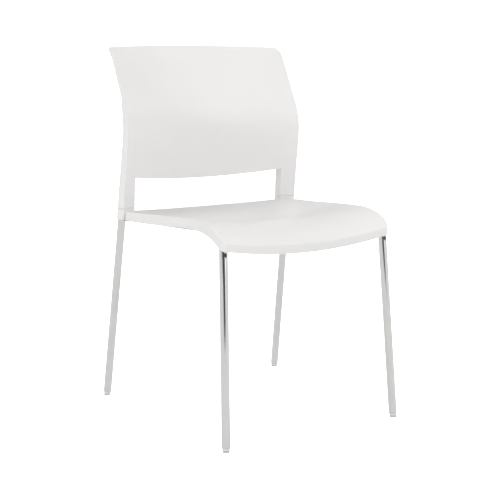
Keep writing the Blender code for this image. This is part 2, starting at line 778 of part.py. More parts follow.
def make_sleeves():
    """A moulded sleeve on each upright, which closes the corner between seat and back."""
    for side, sign in SIDES:
        sleeve = sleeve_solid(side + "_corner_sleeve", sign, 0.0, "shell_plastic")
        bore = rod(side + "_sleeve_bore", bore_path(sign)[:2], TUBE_RADIUS + FIT_GAP, count=CUTTER_SEGMENTS)
        boolean(sleeve, bore, "DIFFERENCE")
        room = rod(side + "_sleeve_rail_room", front_leg_path(sign), TUBE_RADIUS + FIT_GAP,
                   count=CUTTER_SEGMENTS)
        boolean(sleeve, room, "DIFFERENCE")


# ---------------------------------------------------------------- bumpers

def make_bumpers():
    """Rubber bumpers that keep stacked chairs off each other."""
    for side, sign in SIDES:
        leg = mirrored(on_line(FRONT_FOOT, FRONT_LEG_SLOPE, LEG_BUMPER_HEIGHT), sign)
        width, proud, height = LEG_BUMPER_SIZE
        rings = []
        for lift, share in ((-0.5, 0.55), (-0.35, 0.9), (0.0, 1.0), (0.35, 0.9), (0.5, 0.55)):
            y = leg.y + FRONT_LEG_SLOPE[1] * lift * height - TUBE_RADIUS
            z = leg.z + lift * height
            half = width * share / 2
            out = proud * (0.35 + 0.65 * share)
            rings.append([Vector((leg.x - half, y + 0.003, z)), Vector((leg.x - half, y - out * 0.6, z)),
                          Vector((leg.x - half * 0.5, y - out, z)), Vector((leg.x + half * 0.5, y - out, z)),
                          Vector((leg.x + half, y - out * 0.6, z)), Vector((leg.x + half, y + 0.003, z))])
        bumper = skinned(side + "_leg_bumper", rings, "bumper_rubber")
        room = rod(side + "_leg_bumper_seat", front_leg_path(sign), TUBE_RADIUS + FIT_GAP,
                   count=CUTTER_SEGMENTS)
        boolean(bumper, room, "DIFFERENCE")


def main():
    clear_scene()
    make_frame()
    make_glides()
    make_seat()
    make_seat_screws()
    make_back()
    make_back_screws()
    make_upright_plugs()
    make_sleeves()
    make_bumpers()


main()
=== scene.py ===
"""Looks of the stacking chair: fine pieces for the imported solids, their materials, stage and camera."""

import math

import bmesh
import bpy
import numpy as np
from mathutils import Matrix, Vector


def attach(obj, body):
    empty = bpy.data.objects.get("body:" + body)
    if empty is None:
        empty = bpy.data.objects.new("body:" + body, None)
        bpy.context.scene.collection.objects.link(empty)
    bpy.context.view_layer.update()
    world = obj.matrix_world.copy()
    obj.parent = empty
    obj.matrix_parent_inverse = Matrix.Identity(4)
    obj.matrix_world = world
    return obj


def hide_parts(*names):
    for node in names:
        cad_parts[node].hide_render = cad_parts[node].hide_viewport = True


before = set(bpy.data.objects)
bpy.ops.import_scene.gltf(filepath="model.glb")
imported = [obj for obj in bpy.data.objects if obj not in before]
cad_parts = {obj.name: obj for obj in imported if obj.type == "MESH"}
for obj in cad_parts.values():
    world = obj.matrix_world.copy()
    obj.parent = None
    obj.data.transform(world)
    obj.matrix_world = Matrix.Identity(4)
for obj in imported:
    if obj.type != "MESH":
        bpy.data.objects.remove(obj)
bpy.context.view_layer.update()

SIDES = (("left", 1), ("right", -1))
NEARLY_ONE = 0.999

# Shapes are counted from midway between the feet, and that point is this far in front of the origin
ORIGIN_DEPTH = 0.0161

# Steel frame
TUBE_RADIUS = 0.009
TUBE_BORE = 0.0076
TUBE_EDGE = 0.0003
TUBE_SEGMENTS = 48
FIT_GAP = 0.0003
COPE_GAP = FIT_GAP / 3
FRONT_FOOT = (0.2212, -0.2540)
FRONT_LEG_SLOPE = (-0.0362, 0.0780)
REAR_FOOT = (0.2418, 0.2540)
REAR_LEG_SLOPE = (-0.0286, -0.1628)
FRONT_BEND_HEIGHT = 0.4335
FRONT_BEND_RADIUS = 0.027
RAIL_SHOULDER = (0.2000, -0.150, 0.4508)
RAIL_SHOULDER_RADIUS = 0.120
RAIL_KNEE = (0.2106, 0.144, 0.4373)
RAIL_KNEE_RADIUS = 0.050
RAIL_END = (0.2252, 0.1815, 0.4372)
UPRIGHT_STRAIGHT_TOP = 0.596
UPRIGHT_BEND = ((0.2243, 0.1551, 0.620), (0.2238, 0.1556, 0.642))
STRAPS = (("front", -0.115), ("rear", 0.095))
STRAP_SIZE = (0.028, 0.003)
STRAP_DROP = 0.0045
STRAP_EDGE = 0.0005
WELD_RADIUS = 0.0011
WELD_RIPPLE = 0.14
WELD_RIPPLE_TURN = 2.2
WELD_SEGMENTS = 12
STRAP_WELD_SHARE = 0.48

# Glides; the neck is the height of the seam between each collar and its leg
FOOT_HEIGHT = 0.0098
GLIDE_COLLAR_RADIUS = 0.0081
GLIDE_COLLAR_HEIGHT = 0.0045
GLIDE_COLLAR_EDGE = 0.0005
GLIDE_NECK = 0.0006
GLIDE_STEM_RADIUS = 0.0072
GLIDE_STEM_LENGTH = 0.016
GLIDE_STEM_CHAMFER = 0.0008
GLIDE_PAD_RADIUS = 0.0075
GLIDE_PAD_CHAMFER = 0.0003
GLIDE_PAD_EDGE = 0.0012

# Seat shell
SEAT_FRONT = -0.2350
SEAT_REAR = 0.1800
SEAT_CORNER_RADIUS = 0.012
SEAT_EDGE_RADIUS = 0.0023
SEAT_THICKNESS = 0.0045
SKIRT_WALL = 0.0026
SKIRT_EDGE = 0.0007
SKIRT_EDGE_EASE = 0.3
SEAT_WIDTHS = ((-0.235, 0.2175), (-0.20, 0.2165), (-0.15, 0.2145), (-0.08, 0.2165), (0.0, 0.2200),
               (0.08, 0.2228), (0.14, 0.2272), (0.18, 0.2330))
SEAT_RIM = ((-0.235, 0.4308), (-0.218, 0.4470), (-0.192, 0.4595), (-0.160, 0.4665), (-0.110, 0.4672),
            (-0.040, 0.4637), (0.050, 0.4582), (0.180, 0.4512))
SEAT_MIDDLE = ((-0.235, 0.4150), (-0.200, 0.4327), (-0.160, 0.4442), (-0.120, 0.4488),
               (-0.070, 0.4450), (-0.020, 0.4345), (0.040, 0.4292), (0.100, 0.4345), (0.180, 0.4497))
SKIRT_BOTTOM = ((-0.235, 0.4122), (-0.222, 0.4189), (-0.200, 0.4297), (-0.163, 0.4397),
                (-0.120, 0.4442), (-0.080, 0.4440), (0.000, 0.4388), (0.060, 0.4346),
                (0.100, 0.4325), (0.180, 0.4326))
DISH_POWER = 2.4
DISH_POWER_DROP = 0.4
DISH_POWER_FROM = -0.10
LIP_DROOP = 0.0182
REAR_SKIRT = 0.0100
REAR_SKIRT_DEPTH = 0.02
RIM_CROWDING = 0.35
ROW_CROWDING = 1.15
BOSS_RADIUS = 0.0075
BOSS_SIDE = 0.150
SEAT_SCREW_RADIUS = 0.0022
SEAT_SCREW_HEAD = (0.0045, 0.0022)
SEAT_SCREW_LENGTH = 0.0085
SEAT_SCREW_RECESS = 0.0011

# Screws: a rim and a flat crown as shares of the head, the end of the shank, and the cross recess
SCREW_SEGMENTS = 32
DOME_RIM = 0.45
DOME_CROWN = 0.12
SHANK_CHAMFER = 0.0005
SHANK_TIP = 0.7
RECESS_SIZE = 0.52
RECESS_ARM = 0.22
RECESS_TAPER = 0.55

# Back shell
BACK_BOTTOM = 0.4595
BACK_TOP = 0.8265
BACK_TOP_DROP = 0.0044
BACK_BOW = ((0.434, 0.0400), (0.457, 0.0415), (0.50, 0.0480), (0.55, 0.0530), (0.826, 0.0530))
BACK_CORNER_RADIUS = 0.010
BACK_THICKNESS = 0.0038
BACK_WIDTHS = ((0.434, 0.2372), (0.457, 0.2366), (0.50, 0.2363), (0.55, 0.2351), (0.60, 0.2341),
               (0.68, 0.2333), (0.76, 0.2329), (0.826, 0.2325))
BACK_EDGE = ((0.434, 0.1635), (0.457, 0.1599), (0.50, 0.1550), (0.55, 0.1470), (0.59, 0.1408),
             (0.62, 0.1373), (0.65, 0.1381), (0.68, 0.1468), (0.72, 0.1670), (0.76, 0.1870),
             (0.79, 0.2030), (0.808, 0.2148), (0.826, 0.2380))
CHANNEL_DEPTH = ((0.434, 0.0265), (0.600, 0.0265), (0.646, 0.0240), (0.672, 0.0204),
                 (0.699, 0.0110), (0.715, 0.0040), (0.826, 0.0038))
CHANNEL_INNER = 0.2022
CHANNEL_STEP = 0.0030
CHANNEL_ROUND = 0.0090
CHANNEL_BULGE = ((0.434, 0.0050), (0.457, 0.0048), (0.50, 0.0030), (0.55, 0.0026), (0.826, 0.0026))
WINDOW_TOP = 0.5145
WINDOW_RISE = 0.0130
WINDOW_FILLET = 0.0030
BACK_SCREW_HEIGHT = 0.500
BACK_SCREW_RADIUS = 0.0020
BACK_SCREW_HEAD = (0.0042, 0.0026)
BACK_SCREW_SHORT = 0.004
BACK_SCREW_LIFT = 0.0002
BACK_SCREW_RECESS = 0.0012
BACK_EDGE_RADIUS = 0.0015
NORMAL_STEP = 0.002

# Grid of the back: columns of half the panel and of the step into the channel, rows from bottom to top
PANEL_COLUMNS = np.linspace(0.0, 0.1965, 34)
STEP_COLUMNS = (0.1985, 0.2000, 0.2008, 0.2015, 0.2019, CHANNEL_INNER)
PANEL_HALF = len(PANEL_COLUMNS) + len(STEP_COLUMNS) - 1
WINDOW_ROWS = 14
BODY_ROWS = 92
ROLL_ROWS = 15
ROLL_SHARE = 0.045
ROLL_CROWDING = 1.7

# Corner sleeves; the neck is the height and depth of the seam between each sleeve and the back
SLEEVE_BOTTOM = 0.4340
SLEEVE_FLARE = 0.0003
SLEEVE_FLARE_HEIGHT = 0.008
SLEEVE_NECK = (0.0009, 0.0012)
SLEEVE_EDGE = 0.0004
SLEEVE_ROOM = 0.004
BORE_BELOW = 0.01

# Bumpers
LEG_BUMPER_HEIGHT = 0.4060
LEG_BUMPER_SIZE = (0.0056, 0.0016, 0.0098)
LEG_BUMPER_ROOT = 0.0022
LEG_BUMPER_END = 0.35
LEG_BUMPER_POWERS = (3.2, 0.6)

# Camera
CAMERA_AZIMUTH = -32.967
CAMERA_ELEVATION = 9.547
CAMERA_DISTANCE = 2.689
CAMERA_TARGET = (0.0, -0.003, 0.366)
CAMERA_LENS = 85.0

# Values of a noise texture between which colours and roughness change
NOISE_RANGE = (0.3, 0.7)

# Stage: the dark end, a sheet of painted shade, spans two azimuths and begins, is darkest and ends at
# three distances
FLOOR_HALF = 30.0
FLOOR_GLOW = 0.385
BACKDROP_RADIUS = 40.0
BACKDROP_GLOW = 1.2
DARK_SECTOR = (-47.0, 0.0)
DARK_REACH = (3.6, 5.8, 12.0)
DARK_LIFT = 0.004
DARK_HEIGHT = 2.0

# Light: lamps are (azimuth, elevation, energy), azimuth 0 in front of the chair
WORLD_STRENGTH = 0.31
LAMP_SPREAD = 30.0
SIDE_LAMPS_FROM = 80
LAMPS = ((-100, 32, 0.486), (-90, 55, 0.54), (-80, 12, 0.49), (-45, 30, 0.26), (-15, 12, 0.16),
         (15, 12, 0.324), (30, 32, 0.56), (30, 55, 0.22), (90, 12, 0.176), (90, 32, 0.503),
         (140, 60, 0.42), (180, 70, 0.151))


# ---------------------------------------------------------------- mesh helpers

def new_object(name, verts, faces):
    """An object in the chair's frame from points counted from midway between its feet."""
    mesh = bpy.data.meshes.new(name)
    mesh.from_pydata([tuple(map(float, v)) for v in verts], [], [tuple(f) for f in faces])
    mesh.transform(Matrix.Translation((0.0, -ORIGIN_DEPTH, 0.0)))
    bm = bmesh.new()
    bm.from_mesh(mesh)
    loose = [v for v in bm.verts if not v.link_faces]
    bmesh.ops.delete(bm, geom=loose, context="VERTS")
    bmesh.ops.recalc_face_normals(bm, faces=bm.faces)
    bm.to_mesh(mesh)
    bm.free()
    item = bpy.data.objects.new(name, mesh)
    bpy.context.scene.collection.objects.link(item)
    return item


def apply_modifiers(item):
    """Replace an object's mesh by what its modifiers make of it."""
    bpy.context.view_layer.update()
    shape = item.evaluated_get(bpy.context.evaluated_depsgraph_get())
    mesh = bpy.data.meshes.new_from_object(shape)
    item.modifiers.clear()
    item.data = mesh
    return item


def cut(item, *cutters, operation="DIFFERENCE"):
    """Cut an object with others, or join it to them, and remove those."""
    for cutter in cutters:
        modifier = item.modifiers.new("Cut", "BOOLEAN")
        modifier.operation = operation
        modifier.object = cutter
        modifier.solver = "EXACT"
    apply_modifiers(item)
    for cutter in cutters:
        bpy.data.objects.remove(cutter)


def bevel(item, width, segments=3, angle=40):
    """Round the sharp edges of an object."""
    modifier = item.modifiers.new("Bevel", "BEVEL")
    modifier.width = width
    modifier.segments = segments
    modifier.limit_method = "ANGLE"
    modifier.angle_limit = math.radians(angle)
    modifier.use_clamp_overlap = True
    return apply_modifiers(item)


def piece(item, slot, *nodes, sharp=40):
    """Give a finished object the material of its slot and its place in the frame."""
    item.data.materials.clear()
    item.data.materials.append(MATERIAL[slot])
    item.data.shade_smooth()
    item.data.set_sharp_from_angle(angle=math.radians(sharp))
    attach(item, "root")
    if nodes:
        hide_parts(*nodes)


def smooth(stations, at):
    """Read a smooth curve through stations with the slopes of its neighbouring chords."""
    t, v = np.array(stations, float).T
    chord = np.diff(v) / np.diff(t)
    slope = np.concatenate([chord[:1], (chord[1:] + chord[:-1]) / 2, chord[-1:]])
    at = np.clip(at, t[0], t[-1])
    i = np.clip(np.searchsorted(t, at, side="right") - 1, 0, len(t) - 2)
    span = t[i + 1] - t[i]
    s = (at - t[i]) / span
    near = (2 * s ** 3 - 3 * s ** 2 + 1) * v[i] + (s ** 3 - 2 * s ** 2 + s) * span * slope[i]
    far = (3 * s ** 2 - 2 * s ** 3) * v[i + 1] + (s ** 3 - s ** 2) * span * slope[i + 1]
    return near + far


def blend(low, high, at):
    """Smooth step from 0 to 1 between two values."""
    s = np.clip((at - low) / (high - low), 0.0, 1.0)
    return s * s * (3.0 - 2.0 * s)


# ---------------------------------------------------------------- tubes

def on_line(foot, slope, z):
    """A point at a height on a leg's straight centre line."""
    return Vector((foot[0] + slope[0] * z, foot[1] + slope[1] * z, z))


def mirrored(point, sign):
    """A point of the left side, or its mirror on the right side."""
    return Vector((point[0] * sign, point[1], point[2]))


def rounded_path(points, radii, steps=20):
    """A polyline with each inner corner replaced by an arc."""
    path = [points[0]]
    for before, corner, after, radius in zip(points, points[1:], points[2:], radii):
        a = (before - corner).normalized()
        b = (after - corner).normalized()
        half = a.angle(b) / 2.0
        reach = radius / math.tan(half)
        centre = corner + (a + b).normalized() * (radius / math.sin(half))
        start = corner + a * reach - centre
        end = corner + b * reach - centre
        sweep = start.angle(end)
        for k in range(steps + 1):
            t = k / steps
            arm = (start * math.sin((1 - t) * sweep) + end * math.sin(t * sweep)) / math.sin(sweep)
            path.append(centre + arm)
    path.append(points[-1])
    return path


def ring_points(path, radius, count):
    """Rings of points around a path, carried along it without twist."""
    rings = []
    side = None
    for k, point in enumerate(path):
        tangent = (path[min(k + 1, len(path) - 1)] - path[max(k - 1, 0)]).normalized()
        side = side or tangent.cross(Vector((0, 1, 0)))
        side = (side - tangent * side.dot(tangent)).normalized()
        up = tangent.cross(side)
        angles = [2 * math.pi * n / count for n in range(count)]
        rings.append([point + (side * math.cos(a) + up * math.sin(a)) * radius for a in angles])
    return rings


def skin_rings(rings, closed):
    """Faces between rings of equal count; a closed skin also joins the last to the first."""
    count, total = len(rings[0]), len(rings)
    faces = []
    for r in range(total if closed else total - 1):
        low, high = r * count, ((r + 1) % total) * count
        for k in range(count):
            n = (k + 1) % count
            faces.append((low + k, low + n, high + n, high + k))
    if not closed:
        faces.append(tuple(range(count)))
        faces.append(tuple((total - 1) * count + k for k in range(count)))
    return faces


def skinned(name, rings, closed=False):
    """An object skinned over rings of points."""
    return new_object(name, [v for ring in rings for v in ring], skin_rings(rings, closed))


def rod(name, path, radius):
    """A solid round bar along a path."""
    return skinned(name, ring_points(path, radius, TUBE_SEGMENTS))


def tube(name, path):
    """A leg tube along a path, with slightly rounded ends."""
    start, end = (path[1] - path[0]).normalized(), (path[-2] - path[-1]).normalized()
    inner = [path[0] + start * TUBE_EDGE] + path[1:-1] + [path[-1] + end * TUBE_EDGE]
    outer = ring_points(path, TUBE_RADIUS - TUBE_EDGE, TUBE_SEGMENTS)
    body = ring_points(inner, TUBE_RADIUS, TUBE_SEGMENTS)
    bore = ring_points(path, TUBE_BORE, TUBE_SEGMENTS)
    return skinned(name, [outer[0]] + body + [outer[-1]] + bore[::-1], closed=True)


def front_leg_path(sign):
    """Centre line of the front leg, its bend and the side rail under the seat."""
    foot = on_line(FRONT_FOOT, FRONT_LEG_SLOPE, FOOT_HEIGHT)
    bend = on_line(FRONT_FOOT, FRONT_LEG_SLOPE, FRONT_BEND_HEIGHT)
    points = [foot, bend, Vector(RAIL_SHOULDER), Vector(RAIL_KNEE), Vector(RAIL_END)]
    path = rounded_path(points, (FRONT_BEND_RADIUS, RAIL_SHOULDER_RADIUS, RAIL_KNEE_RADIUS))
    return [mirrored(p, sign) for p in path]


def upright_path(sign):
    """Centre line of the rear leg, which runs straight up into the back and then eases back."""
    foot = on_line(REAR_FOOT, REAR_LEG_SLOPE, FOOT_HEIGHT)
    top = on_line(REAR_FOOT, REAR_LEG_SLOPE, UPRIGHT_STRAIGHT_TOP)
    return [mirrored(p, sign) for p in [foot, top] + [Vector(p) for p in UPRIGHT_BEND]]


def rail_point(y, sign):
    """A point on the side rail at a given depth."""
    path = [p for p in front_leg_path(sign) if p.z > FRONT_BEND_HEIGHT]
    for a, b in zip(path, path[1:]):
        if a.y <= y <= b.y:
            return a.lerp(b, (y - a.y) / (b.y - a.y))
    return path[-1].copy()


def strap_height(x, y):
    """Height of a strap's upper face, which follows the underside of the seat."""
    return float(seat_height(x, y)) - SEAT_THICKNESS - STRAP_DROP


def screw_seat(y, sign):
    """Where a seat screw passes the upper face of its strap."""
    return Vector((sign * BOSS_SIDE, y, strap_height(BOSS_SIDE, y)))


def make_strap(row, y, steps=48):
    """A flat cross strap between the side rails, with two screw holes."""
    reach = rail_point(y, 1).x
    width, thickness = STRAP_SIZE
    rings = []
    for k in range(steps + 1):
        x = reach * (2 * k / steps - 1)
        z = strap_height(x, y)
        rings.append([Vector((x, y + v * width / 2, z - w * thickness))
                      for v, w in ((-1, 0), (1, 0), (1, 1), (-1, 1))])
    strap = bevel(skinned(row + "_strap", rings), STRAP_EDGE, 2)
    cutters = []
    for _, sign in SIDES:
        cutters.append(rod("cope", front_leg_path(sign), TUBE_RADIUS + COPE_GAP))
        centre = screw_seat(y, sign)
        path = [centre - Vector((0, 0, 3 * thickness)), centre + Vector((0, 0, 2 * thickness))]
        cutters.append(rod("hole", path, SEAT_SCREW_RADIUS + FIT_GAP))
    cut(strap, *cutters)
    piece(strap, "chromed_tube", row + "_cross_strap")


def make_frame():
    """Leg tubes, uprights, cross straps and the welds between them."""
    for side, sign in SIDES:
        rail = tube(side + "_leg_and_rail", front_leg_path(sign))
        cut(rail, rod("cope", upright_path(sign), TUBE_RADIUS + COPE_GAP))
        piece(rail, "chromed_tube", side + "_front_leg_rail")
        upright = tube(side + "_upright_tube", upright_path(sign))
        piece(upright, "chromed_tube", side + "_rear_upright")
    for row, y in STRAPS:
        make_strap(row, y)
    make_welds()


def bead(name, path, closed=False):
    """A rippled weld bead along a path."""
    rings = ring_points(path, 1.0, WELD_SEGMENTS)
    for k, (centre, ring) in enumerate(zip(path, rings)):
        size = WELD_RADIUS * (1.0 + WELD_RIPPLE * math.sin(WELD_RIPPLE_TURN * k))
        rings[k] = [centre + (point - centre) * size for point in ring]
    piece(skinned(name, rings, closed), "chromed_tube", sharp=60)


def rail_seam(sign, count=44):
    """Where the surface of a side rail meets the surface of its upright, once round."""
    path = front_leg_path(sign)
    along = (path[-1] - path[-2]).normalized()
    foot = mirrored(on_line(REAR_FOOT, REAR_LEG_SLOPE, 0.0), sign)
    up = (mirrored(on_line(REAR_FOOT, REAR_LEG_SLOPE, 1.0), sign) - foot).normalized()
    flat = along - up * along.dot(up)
    seam = []
    for point in ring_points([path[-1] - along, path[-1]], TUBE_RADIUS, count)[1]:
        out = (point - foot) - up * (point - foot).dot(up)
        a, b, c = flat.dot(flat), out.dot(flat), out.dot(out) - TUBE_RADIUS ** 2
        seam.append(point - along * ((b + math.sqrt(max(0.0, b * b - a * c))) / a))
    return seam


def strap_seam(y, sign, steps=32):
    """Where the underside of a strap meets the inner side of a side rail."""
    reach = STRAP_SIZE[0] * STRAP_WELD_SHARE
    start, end = rail_point(y - reach, sign), rail_point(y + reach, sign)
    seam = []
    for k in range(steps + 1):
        centre = start.lerp(end, k / steps)
        under = strap_height(centre.x, centre.y) - STRAP_SIZE[1]
        drop = min(NEARLY_ONE, abs(centre.z - under) / TUBE_RADIUS)
        inward = TUBE_RADIUS * math.sqrt(1.0 - drop ** 2)
        seam.append(Vector((centre.x - sign * inward, centre.y, under)))
    return seam


def make_welds():
    """Beads where each rail meets its upright, and along the ends of the straps."""
    for side, sign in SIDES:
        bead(side + "_rail_weld", rail_seam(sign), closed=True)
        for row, y in STRAPS:
            bead(side + "_" + row + "_strap_weld", strap_seam(y, sign))


# ---------------------------------------------------------------- glides

def disc(centre, axis, radius, count=TUBE_SEGMENTS):
    """A ring of points around an axis, square to it."""
    side = axis.cross(Vector((0, 1, 0))).normalized()
    up = axis.cross(side)
    angles = [2 * math.pi * k / count for k in range(count)]
    return [centre + (side * math.cos(a) + up * math.sin(a)) * radius for a in angles]


def lathe(name, base, axis, profile, count=TUBE_SEGMENTS):
    """A turned solid from (height, radius) pairs along an axis."""
    return skinned(name, [disc(base + axis * h, axis, r, count) for h, r in profile])


def rounded_profile(low, high, radius, edge, steps=4):
    """(height, radius) pairs of a disc with rounded rims, from its upper to its lower face."""
    turns = [math.pi / 2 * k / steps for k in range(steps + 1)]
    upper = [(high - edge + edge * math.cos(t), radius - edge + edge * math.sin(t)) for t in turns]
    lower = [(low + edge - edge * math.cos(t), radius - edge + edge * math.sin(t)) for t in turns]
    return upper + lower[::-1]


def make_glides():
    """A collar with a stem in each leg, and a pad whose foot is level with the floor."""
    legs = (("front", FRONT_FOOT, FRONT_LEG_SLOPE), ("rear", REAR_FOOT, REAR_LEG_SLOPE))
    for row, foot, slope in legs:
        for side, sign in SIDES:
            top = mirrored(on_line(foot, slope, FOOT_HEIGHT), sign)
            axis = mirrored((slope[0], slope[1], 1.0), sign).normalized()
            name = side + "_" + row
            collar_top = -FIT_GAP - GLIDE_NECK
            stem = [(GLIDE_STEM_LENGTH, GLIDE_STEM_RADIUS - GLIDE_STEM_CHAMFER),
                    (GLIDE_STEM_LENGTH - GLIDE_STEM_CHAMFER, GLIDE_STEM_RADIUS),
                    (collar_top, GLIDE_STEM_RADIUS)]
            rim = rounded_profile(-GLIDE_COLLAR_HEIGHT, collar_top,
                                  GLIDE_COLLAR_RADIUS, GLIDE_COLLAR_EDGE)
            collar = lathe(name + "_collar", top, axis, stem + rim)
            piece(collar, "glide_collar", name + "_glide_collar")
            make_pad(name, top - axis * GLIDE_COLLAR_HEIGHT, axis)


def make_pad(name, top, axis, steps=6):
    """The pad: its top is square to the leg, its foot is flat on the floor."""
    level = Vector((0, 0, 1))
    centre = top - axis * (top.z / axis.z)
    rings = [disc(top - axis * FIT_GAP, axis, GLIDE_PAD_RADIUS - GLIDE_PAD_CHAMFER),
             disc(top - axis * (FIT_GAP + GLIDE_PAD_CHAMFER), axis, GLIDE_PAD_RADIUS)]
    for k in range(steps + 1):
        turn = math.pi / 2 * k / steps
        fall = GLIDE_PAD_EDGE * (1 - math.sin(turn))
        ring = disc(centre, level, GLIDE_PAD_RADIUS - GLIDE_PAD_EDGE * (1 - math.cos(turn)))
        for point in ring:
            point.z = fall
        rings.append(ring)
    piece(skinned(name + "_pad", rings), "glide_pad", name + "_glide_pad")


# ---------------------------------------------------------------- seat shell

def seat_half_width(y, inset=0.0):
    """Half width of the seat, with its front corners rounded."""
    width = smooth(SEAT_WIDTHS, y) - inset
    radius = SEAT_CORNER_RADIUS - inset
    past = np.minimum(y - (SEAT_FRONT + inset), radius)
    return width - radius + np.sqrt(np.maximum(0.0, radius ** 2 - (radius - past) ** 2))


def seat_height(x, y):
    """Height of the sitting surface, which dips from its rim to its middle."""
    rim = smooth(SEAT_RIM, y)
    middle = smooth(SEAT_MIDDLE, y)
    power = DISH_POWER - DISH_POWER_DROP * blend(DISH_POWER_FROM, SEAT_FRONT, y)
    return middle + (rim - middle) * np.abs(x / smooth(SEAT_WIDTHS, y)) ** power


def skirt_height(share, y):
    """Height of the skirt's lower edge; share runs from -1 to 1 across the seat."""
    edge = smooth(SKIRT_BOTTOM, y) - LIP_DROOP * (1.0 - share ** 2)
    rear = seat_height(share * seat_half_width(y), y) - REAR_SKIRT
    return np.where((y > SEAT_REAR - REAR_SKIRT_DEPTH) & (np.abs(share) < NEARLY_ONE), rear, edge)


def seat_rows(inset, steps=84, corner_steps=8):
    """Depths of the seat's rows, closer together around the front corners."""
    front, rear = SEAT_FRONT + inset, SEAT_REAR - inset
    radius = SEAT_CORNER_RADIUS - inset
    corner = front + radius * (1 - np.cos(np.pi / 2 * np.arange(corner_steps) / corner_steps))
    start = front + radius
    share = (np.arange(steps + 1) / steps) ** ROW_CROWDING
    return np.concatenate([corner, start + (rear - start) * share])


def seat_shares(count=72):
    """Shares of the half width, closer together near the rim."""
    t = 2 * np.arange(count + 1) / count - 1
    return np.sin(np.pi / 2 * t) * RIM_CROWDING + (1 - RIM_CROWDING) * t


def seat_grid(inset, drop):
    """A grid of points over the seat at a distance from its outline and below its top."""
    y = seat_rows(inset)[:, None]
    x = seat_half_width(y, inset) * seat_shares()[None, :]
    y = np.broadcast_to(y, x.shape)
    return np.stack([x, y, seat_height(x, y) - drop], -1)


def grid_border(rows, columns):
    """Indices (row, column) around a grid, once round."""
    border = [(0, c) for c in range(columns - 1)]
    border += [(r, columns - 1) for r in range(rows - 1)]
    border += [(rows - 1, c) for c in range(columns - 1, 0, -1)]
    border += [(r, 0) for r in range(rows - 1, 0, -1)]
    return border


def seat_ring(inset, height):
    """Points round the seat's outline at an inset; height gives z from share, depth and x."""
    rows, shares = seat_rows(inset), seat_shares()
    r, c = np.array(grid_border(len(rows), len(shares))).T
    y, share = rows[r], shares[c]
    x = share * seat_half_width(y, inset)
    return np.stack([x, y, height(share, y, x)], -1)


def shell_between(name, top, rings, bottom):
    """A closed shell: a top grid, rings round its border, and a bottom grid of the same count."""
    rows, columns = top.shape[:2]
    verts = [top.reshape(-1, 3), bottom.reshape(-1, 3)]
    offset = rows * columns
    faces = []
    for r in range(rows - 1):
        for c in range(columns - 1):
            a = r * columns + c
            faces.append((a, a + 1, a + columns + 1, a + columns))
            b = offset + a
            faces.append((b, b + columns, b + columns + 1, b + 1))
    border = [r * columns + c for r, c in grid_border(rows, columns)]
    loops = [border]
    start = 2 * offset
    for ring in rings:
        loops.append(list(range(start, start + len(ring))))
        start += len(ring)
        verts.append(ring)
    loops.append([offset + k for k in border])
    for low, high in zip(loops, loops[1:]):
        for k in range(len(border)):
            n = (k + 1) % len(border)
            faces.append((low[k], high[k], high[n], low[n]))
    return new_object(name, np.concatenate(verts), faces)


def make_seat(steps=6):
    """The seat: dished top, rolled edge, skirt with a rounded hem and screw bosses underneath."""
    radius, hem, wall = SEAT_EDGE_RADIUS, SKIRT_EDGE, SKIRT_WALL
    rings = []
    for turn in (math.pi / 2 * k / steps for k in range(1, steps + 1)):
        fall = radius * (1 - math.cos(turn))
        inset = radius * (1 - math.sin(turn))
        rings.append(seat_ring(inset, lambda s, y, x, fall=fall: seat_height(x, y) - fall))
    ease = SKIRT_EDGE_EASE * hem
    for inset, lift in ((0.0, hem), (ease, ease), (hem, 0.0), (wall - hem, 0.0),
                        (wall - ease, ease), (wall, hem)):
        rings.append(seat_ring(inset, lambda s, y, x, lift=lift: skirt_height(s, y) + lift))
    seat = shell_between("moulded_seat", seat_grid(radius, 0.0), rings, seat_grid(wall, SEAT_THICKNESS))
    for _, sign in SIDES:
        for _, y in STRAPS:
            add_boss(seat, screw_seat(y, sign))
        cut(seat, sleeve_solid("room", sign, FIT_GAP),
            rod("rail", front_leg_path(sign), TUBE_RADIUS + FIT_GAP))
    piece(seat, "shell_plastic", "seat_shell")


def add_boss(seat, centre):
    """A moulded post from the seat down to its strap."""
    slope = abs(strap_height(BOSS_SIDE + BOSS_RADIUS, centre.y) - centre.z)
    foot = centre + Vector((0, 0, slope + FIT_GAP))
    top = float(seat_height(centre.x, centre.y)) - SEAT_THICKNESS / 2
    cut(seat, rod("post", [foot, Vector((centre.x, centre.y, top))], BOSS_RADIUS), operation="UNION")


# ---------------------------------------------------------------- back shell

def back_front(x, z):
    """Points of the back's front surface."""
    share = x / smooth(BACK_WIDTHS, z)
    return np.stack([x, smooth(BACK_EDGE, z) + smooth(BACK_BOW, z) * (1.0 - share ** 2), z], -1)


def back_normal(x, z):
    """Directions from the front surface into the back."""
    across = back_front(x + NORMAL_STEP, z) - back_front(x - NORMAL_STEP, z)
    along = back_front(x, z + NORMAL_STEP) - back_front(x, z - NORMAL_STEP)
    out = np.cross(along, across)
    return out / np.linalg.norm(out, axis=-1, keepdims=True)


def channel_offset(x, z):
    """Sideways shift and depth that the channel adds behind the panel."""
    full = CHANNEL_DEPTH[0][1] - BACK_THICKNESS
    share = np.maximum(0.0, smooth(CHANNEL_DEPTH, z) - BACK_THICKNESS) / full
    side = blend(CHANNEL_INNER - CHANNEL_STEP, CHANNEL_INNER, np.abs(x))
    from_edge = smooth(BACK_WIDTHS, z) - np.abs(x)
    near = np.clip(1.0 - from_edge / CHANNEL_ROUND, 0.0, 1.0)
    drop = CHANNEL_ROUND * share * (1.0 - np.sqrt(1.0 - near ** 2))
    shift = np.copysign(smooth(CHANNEL_BULGE, z) * share * near, x)
    return np.stack([shift, full * share * side - drop, np.zeros_like(x)], -1)


